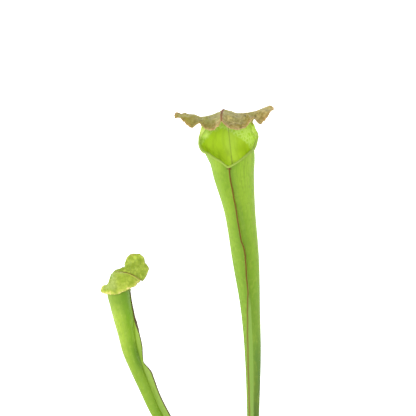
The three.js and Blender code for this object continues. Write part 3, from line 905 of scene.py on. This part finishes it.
def paint_short_hood(coat):
    """The young hood: yellow-green cushions between its veins, a crimped cream margin."""
    flare = coat.sheet("flare")
    edge = coat.sheet("edge")
    near = coat.z.step(12 * MM, 20 * MM)
    far = 1 - near
    coat.colour = coat.mix(coat.clouds(260, 0.38, 0.62), (140, 160, 46), (172, 188, 70))
    coat.paint(near * coat.clouds(90, 0.4, 0.6), 0.5, (152, 174, 54))
    # Painted highlight: a pale patch on the near half's dome.
    dome_highlight = near * coat.x.step(-93 * MM, -97 * MM) * coat.y.step(216 * MM, 219 * MM)
    coat.paint(dome_highlight, 0.6, (176, 190, 110))
    # Painted shade: darker streaks in the folds of the far half.
    fold_shade = far * coat.clouds(300, 0.5, 0.6, 2.0, (1, 2.2, 1))
    coat.paint(fold_shade, 0.25, (122, 146, 38))
    netted = (1 - coat.puckers(HOOD_CUSHIONS)) * (near * -0.4 + 1.0)
    coat.paint(netted, 0.45, (116, 138, 32))
    coat.paint(coat.clouds(900, 0.56, 0.7), 0.35, (112, 124, 36))
    ragged = coat.patches(420) * 8.0 + edge
    beside = near * 0.5 + 0.3
    coat.paint(ragged.step(7.4, 5.2) * beside, 0.7, (184, 190, 74))
    margin = ragged.step(5.6, 4.2)
    crimps = margin * coat.clouds(520, 0.42, 0.58) * beside
    coat.paint(crimps, 0.9, (226, 208, 134))
    hem = edge.step(0.9, 0.4) * far * coat.clouds(380, 0.4, 0.5)
    coat.paint(hem, 0.55, (104, 104, 52))
    coat.paint(margin * coat.clouds(640, 0.58, 0.68), 0.5, (166, 120, 72))
    # Painted highlight: a yellow line of light beside the midrib's fold.
    coat.paint(coat.midrib(-1.4, 0.6) * flare.step(0.45, 0.7), 0.35, (212, 204, 84))
    coat.paint(coat.midrib(-0.2, 0.5) * flare.step(0.15, 0.4), 0.85, (120, 82, 36))


def short_skin():
    """Green with a dark line on the wing's edge, and painted shade at the kink, under the hood and
    by the wing.
    """
    coat = Coat("short_pitcher_skin")
    around = coat.sheet("around")
    wing = coat.sheet("wing")
    lip = coat.sheet("lip")
    paint_short_tube(coat)
    height = paint_veins(coat, (110, 144, 28), SHORT["veins"])
    # Painted shade: deep green on the wing's side of the tube's upper part.
    coat.paint(around.step(0.52, 0.36) * coat.height(190, 200), 0.5, (106, 154, 0))
    kink = coat.height(154, 166) * coat.height(184, 172) * around.step(0.5, 0.3)
    coat.paint(kink, 0.5, (72, 116, 0))
    lit_wing = wing.step(0.05, 0.3) * coat.height(200, 190) * coat.height(150, 165)
    coat.paint(lit_wing, 0.45, (160, 190, 66))
    coat.paint(coat.height(165, 150), 0.35, (110, 150, 24))
    # Painted shadow: darker just under the hood.
    coat.paint(coat.height(198, 209), 0.45, (104, 138, 46))
    coat.paint(lip, 0.7, LIP_GREEN)
    green = coat.colour
    paint_short_hood(coat)
    hood = coat.sheet("flare").step(0.02, 0.3) * (1 - lip)
    coat.colour = coat.mix(hood, green, coat.colour)
    # The dark line is the wing's own dark edge; where the wing is narrow it covers the whole flank
    # as painted shade.
    narrow = coat.height(186, 196) * 0.6
    line = (wing + narrow).step(0.74, 0.9) * wing.step(0.0, 0.1)
    coat.paint(line, 0.95, (74, 46, 26))
    cushions = hood * (coat.puckers(HOOD_CUSHIONS) * 2.0)
    return coat.finished(0.45, height + cushions, 0.25, 0.25)


def short_lining():
    """The inside of the young trap, plain green with pale patches."""
    coat = Coat("short_pitcher_lining")
    coat.colour = coat.mix(coat.clouds(120, 0.4, 0.65), (128, 156, 40), (150, 172, 58))
    veins, height = coat.veins(SHORT["inner_veins"])
    coat.paint(veins, 0.22, (96, 126, 16))
    return coat.finished(0.5, height, 0.3, 0.1)


short = leaf_object("short_pitcher_leaf", SHORT)
short.data.materials.append(short_skin())
short.data.materials.append(short_lining())
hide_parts("short_pitcher")
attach(short, "root")

# The rhizome is the plant's creeping stem, ringed where old leaves have come away, cut
# across at its old end and closed by scales at its growing tip. Its bark is dull brown, and
# most of its wiry roots have been trimmed short.

RHIZOME_RADIUS = 7.2
RHIZOME_CUT_END = -27
RHIZOME_BUD_END = 27
RHIZOME_SCARS = 7
BUD_FROM = 0.72
ROOT_RADIUS = 1.1
ROOT_WANDER = 1.6
ROOTLETS = 7
ROOTLET_RADIUS = 0.2
ROOTLET_REST = 0.25
TABLE_GAP = 0.02

# Steps of the cut end: how far in from the last, and how deep, in millimetres.
CUT_STEPS = [(0.9, 0.15), (1.2, 0.35), (2.2, 0.1)]

# Where each root leaves the rhizome, its heading in degrees, 270 away from the leaves, and
# its length.
ROOTS = [
    (-23, 232, 15), (-18, 262, 22), (-12, 248, 12), (-6, 275, 24), (1, 258, 16), (7, 283, 21),
    (13, 268, 13), (17, 296, 18),
]

# Scales round the growing tip: turn round the stem in degrees, first and last share of its
# length, and half width in degrees.
BUD_SCALES = [
    (20, 0.74, 0.95, 62), (150, 0.76, 0.97, 58), (265, 0.8, 0.98, 60), (80, 0.86, 1.01, 64),
    (200, 0.88, 1.02, 66),
]


def bark_point(angle, share, lift=0.0):
    """The rhizome's surface, in millimetres: knobbly, with a ring at each old leaf scar."""
    scar = abs(math.sin(math.pi * RHIZOME_SCARS * share))
    bud = max((min(share, 1) - BUD_FROM) / (1 - BUD_FROM), 0)
    radius = RHIZOME_RADIUS * (0.93 + 0.09 * scar) * math.sqrt(1 - 0.96 * bud**1.6)
    radius *= 1 + 0.05 * math.sin(3 * angle + 9 * share) + 0.03 * math.sin(2 * angle + 23 * share)
    x = blended(RHIZOME_CUT_END, RHIZOME_BUD_END, share)
    about = Vector((0, math.cos(angle), math.sin(angle)))
    fissure = noise.noise(Vector((0.13 * x, 0, 0)) + 3.4 * about)
    grain = noise.noise(Vector((0.9 * x, 4, 0)) + 7 * about)
    collar = math.exp(-(((scar - 0.16) / 0.1) ** 2))
    radius += lift + 0.32 * fissure + 0.16 * grain + 0.22 * collar * (1 - bud)
    return Vector((x, 0, RHIZOME_RADIUS - 0.9)) + about * radius


def rod_in(bm, placed, sides, rings, bend):
    """A capped rod, bent by a rule that gives each vertex its place, in millimetres."""
    rod = bmesh.ops.create_cone(
        bm, cap_ends=True, segments=sides, radius1=1, radius2=1, depth=1
    )["verts"]
    edges = {e for v in rod for e in v.link_edges}
    lengthwise = [e for e in edges if abs(e.verts[0].co.z - e.verts[1].co.z) > 0.5]
    bmesh.ops.subdivide_edges(bm, edges=lengthwise, cuts=rings)
    rod = [v for v in bm.verts if v[placed] == 0]
    for vertex in rod:
        share = vertex.co.z + 0.5
        place = bend(math.atan2(vertex.co.y, vertex.co.x), share)
        place.z = max(place.z, TABLE_GAP)
        vertex.co = place * MM
        vertex[placed] = 1
    return rod


def root_path(x, heading, length, side):
    """The line of a root, which sinks to the table and wanders along it."""
    angle = math.radians(heading)
    way = Vector((math.cos(angle), math.sin(angle), 0))
    across = Vector((-way.y, way.x, 0))
    rest = ROOT_RADIUS + 0.15
    path = []
    for share, height in ((0, 4), (0.3, 2.6), (0.6, rest), (1, rest)):
        place = Vector((x, -0.45 * RHIZOME_RADIUS, 0)) + way * (length * share)
        place += across * (side * math.sin(4 * share))
        path.append((place.x, place.y, height))
    return path


def round_path(path, thickness, ragged):
    """A rule that bends a rod along a path. The rod grows thinner and is a little uneven."""
    def bend(angle, share):
        t = share * (len(path) - 1)
        centre = Vector(along(path, t))
        tangent = (Vector(along(path, t + 0.02)) - Vector(along(path, t - 0.02))).normalized()
        side = Vector((0, 0, 1)).cross(tangent).normalized()
        up = tangent.cross(side)
        radius = thickness * (1 - 0.35 * share)
        about = Vector((math.cos(angle), math.sin(angle), 0))
        radius *= 1 + ragged * noise.noise(centre * 1.1 + about)
        return centre + side * (radius * about.x) + up * (radius * about.y)
    return bend


def rootlet_path(path, n, k):
    """Rootlet n of root k leaves it aslant and lies down on the table."""
    t = (0.35 + 0.6 * n / ROOTLETS) * (len(path) - 1)
    start = Vector(along(path, t))
    way = (Vector(along(path, t + 0.1)) - start).normalized()
    turn = (1 if (n + k) % 2 else -1) * (0.7 + 0.25 * math.sin(5 * n + k))
    aside = Vector((
        way.x * math.cos(turn) - way.y * math.sin(turn),
        way.x * math.sin(turn) + way.y * math.cos(turn),
        0,
    ))
    reach = 3.5 + 1.8 * math.sin(3 * n + 2 * k)
    bow = Vector((-aside.y, aside.x, 0)) * (0.4 * math.sin(n + k))
    line = [start, start + aside * (0.5 * reach) + bow, start + aside * reach]
    heights = [start.z, 0.5 * start.z, ROOTLET_REST]
    return [(p.x, p.y, max(z, ROOTLET_REST)) for p, z in zip(line, heights)]


def bud_scales_in(bm, ringed, placed):
    """Thin scales that lie over one another round the growing tip."""
    for turn, first, last, width in BUD_SCALES:
        scale = bmesh.ops.create_grid(bm, x_segments=14, y_segments=14, size=1)["verts"]
        for vertex in scale:
            t = 0.5 * (vertex.co.y + 1)
            spread = math.radians(width) * math.sqrt(max(1 - t**1.7, 0.0))
            angle = math.radians(turn) + vertex.co.x * spread
            lift = 0.25 + 0.5 * t - 0.2 * vertex.co.x**2
            place = bark_point(angle, blended(first, last, t), lift)
            place.z = max(place.z, TABLE_GAP)
            vertex.co = place * MM
            vertex[ringed] = -1
            vertex[placed] = 1


def rhizome_object():
    """The stem with its cut end sunk in steps, its roots and the scales of its tip."""
    bm = bmesh.new()
    cut, ringed, rooty, placed = (
        bm.verts.layers.float.new(name) for name in ("cut", "ringed", "rooty", "placed")
    )
    for vertex in rod_in(bm, placed, sides=96, rings=150, bend=bark_point):
        share = (vertex.co.x / MM - RHIZOME_CUT_END) / (RHIZOME_BUD_END - RHIZOME_CUT_END)
        vertex[ringed] = 1 - abs(math.sin(math.pi * RHIZOME_SCARS * share))
    old_end = [f for f in bm.faces if len(f.verts) > 4 and f.calc_center_median().x < 0]
    for inset, sink in CUT_STEPS:
        bmesh.ops.inset_region(
            bm, faces=old_end, thickness=inset * MM, depth=-sink * MM, use_even_offset=False
        )
        for vertex in old_end[0].verts:
            vertex[cut] = 1
    for k, (x, heading, length) in enumerate(ROOTS):
        path = root_path(x, heading, length, ROOT_WANDER if k % 2 else -ROOT_WANDER)
        rods = [{"sides": 14, "rings": 40, "bend": round_path(path, ROOT_RADIUS, 0.35)}]
        for n in range(ROOTLETS):
            bend = round_path(rootlet_path(path, n, k), ROOTLET_RADIUS, 0.2)
            rods.append({"sides": 6, "rings": 7, "bend": bend})
        for rod in rods:
            for vertex in rod_in(bm, placed, **rod):
                vertex[rooty] = 1
    bud_scales_in(bm, ringed, placed)
    bmesh.ops.remove_doubles(bm, verts=bm.verts, dist=0.002 * MM)
    bmesh.ops.recalc_face_normals(bm, faces=bm.faces)
    for face in bm.faces:
        face.smooth = True
    return piece_from(bm, "rhizome_stem")


def bark():
    """Dull brown bark, darker in the rings, tan on the roots and pale where it is cut."""
    coat = Coat("rhizome_bark")
    ringed = coat.sheet("ringed")
    fibres = coat.clouds(900, 0.45, 0.6, 3.0, (0.18, 1, 1))
    coat.colour = coat.mix(coat.clouds(260, 0.35, 0.65, 5.0), (78, 52, 36), (138, 100, 66))
    coat.paint(fibres, 0.5, (58, 38, 26))
    coat.paint(coat.clouds(1500, 0.6, 0.72), 0.5, (176, 142, 102))
    coat.paint(ringed.step(0.6, 0.95), 0.6, (46, 30, 22))
    young = coat.x.step(12 * MM, 25 * MM)
    coat.paint(young, 0.6, (150, 92, 60))
    scaly = coat.clouds(500, 0.4, 0.6, 3.0, (0.3, 1, 1))
    scale_tan = coat.mix(scaly, (132, 88, 54), (176, 134, 86))
    coat.paint(ringed.step(-0.2, -0.8), 0.9, scale_tan)
    root_tan = coat.mix(coat.clouds(420, 0.35, 0.65, 4.0), (96, 66, 42), (160, 122, 80))
    coat.paint(coat.sheet("rooty"), 0.9, root_tan)
    pith = coat.mix(coat.clouds(700, 0.4, 0.6), (214, 186, 140), (188, 152, 106))
    coat.paint(coat.sheet("cut"), 0.9, pith)
    return coat.finished(0.75, coat.patches(700, 5.0) + fibres, 0.0, 0.6)


rhizome = rhizome_object()
rhizome.data.materials.append(bark())
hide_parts("rhizome")
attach(rhizome, "root")

# The plant lies on a plain white table in soft light from above and to its left.

TABLE_HALF = 8
TABLE_DROP = 0.0003
TABLE_WHITE = 0.92
WORLD_STRENGTH = 0.62

# Each softbox: place, width and power. All of them point at the middle of the plant.
SOFTBOXES = {
    "key": ((-0.35, 0.2, 1.9), 0.8, 25),
    "front": ((-0.03, 0.4, 1.95), 0.4, 11),
    "left": ((-1.5, 0.1, 0.8), 0.7, 14),
    "right": ((1.3, 0.5, 0.7), 0.7, 6),
}
PLANT_MIDDLE = Vector((-0.03, 0.25, 0))


def table_top():
    bm = bmesh.new()
    bmesh.ops.create_grid(bm, x_segments=1, y_segments=1, size=TABLE_HALF)
    for vertex in bm.verts:
        vertex.co.z = -TABLE_DROP
    table = piece_from(bm, "table")
    material = bpy.data.materials.new("table_white")
    material.use_nodes = True
    shader = material.node_tree.nodes["Principled BSDF"]
    for name, value in {
        "Base Color": (TABLE_WHITE, TABLE_WHITE, TABLE_WHITE, 1),
        "Roughness": 0.9,
        "Specular IOR Level": 0.1,
        "Emission Color": (1, 1, 1, 1),
        "Emission Strength": 0.75,
    }.items():
        shader.inputs[name].default_value = value
    table.data.materials.append(material)


def softbox(name, place, width, power):
    light = bpy.data.lights.new(name, "AREA")
    light.shape = "DISK"
    light.size = width
    light.energy = power
    lamp = bpy.data.objects.new(name, light)
    lamp.location = place
    lamp.rotation_euler = (PLANT_MIDDLE - Vector(place)).to_track_quat("-Z", "Y").to_euler()
    lamp.visible_camera = False
    bpy.context.scene.collection.objects.link(lamp)


table_top()
for name, (place, width, power) in SOFTBOXES.items():
    softbox(name, place, width, power)
world = bpy.data.worlds.new("studio")
world.use_nodes = True
background = world.node_tree.nodes["Background"]
background.inputs["Color"].default_value = (1, 1, 1, 1)
background.inputs["Strength"].default_value = WORLD_STRENGTH
bpy.context.scene.world = world
bpy.context.scene.view_settings.view_transform = "Standard"

# The camera looks straight down on the plant through a long lens and frames it as the
# photograph does: 0.7 mm of plant for each of the photograph's 416 pixels. The plant's
# origin lies below the photograph's lower edge.

PIXEL = 0.7 * MM
PICTURE_SIDE = 416
ORIGIN_COLUMN = 252
ORIGIN_ROW = 600
CAMERA_HEIGHT = 4.0
LEAF_HEIGHT = 15 * MM
SENSOR_WIDTH = 36
middle = PICTURE_SIDE / 2
camera_data = bpy.data.cameras.new("camera")
camera_data.sensor_width = SENSOR_WIDTH
camera_data.lens = SENSOR_WIDTH * (CAMERA_HEIGHT - LEAF_HEIGHT) / (PICTURE_SIDE * PIXEL)
camera_data.clip_end = 20
camera = bpy.data.objects.new("camera", camera_data)
camera.location = ((middle - ORIGIN_COLUMN) * PIXEL, (ORIGIN_ROW - middle) * PIXEL, CAMERA_HEIGHT)
bpy.context.scene.collection.objects.link(camera)
bpy.context.scene.camera = camera
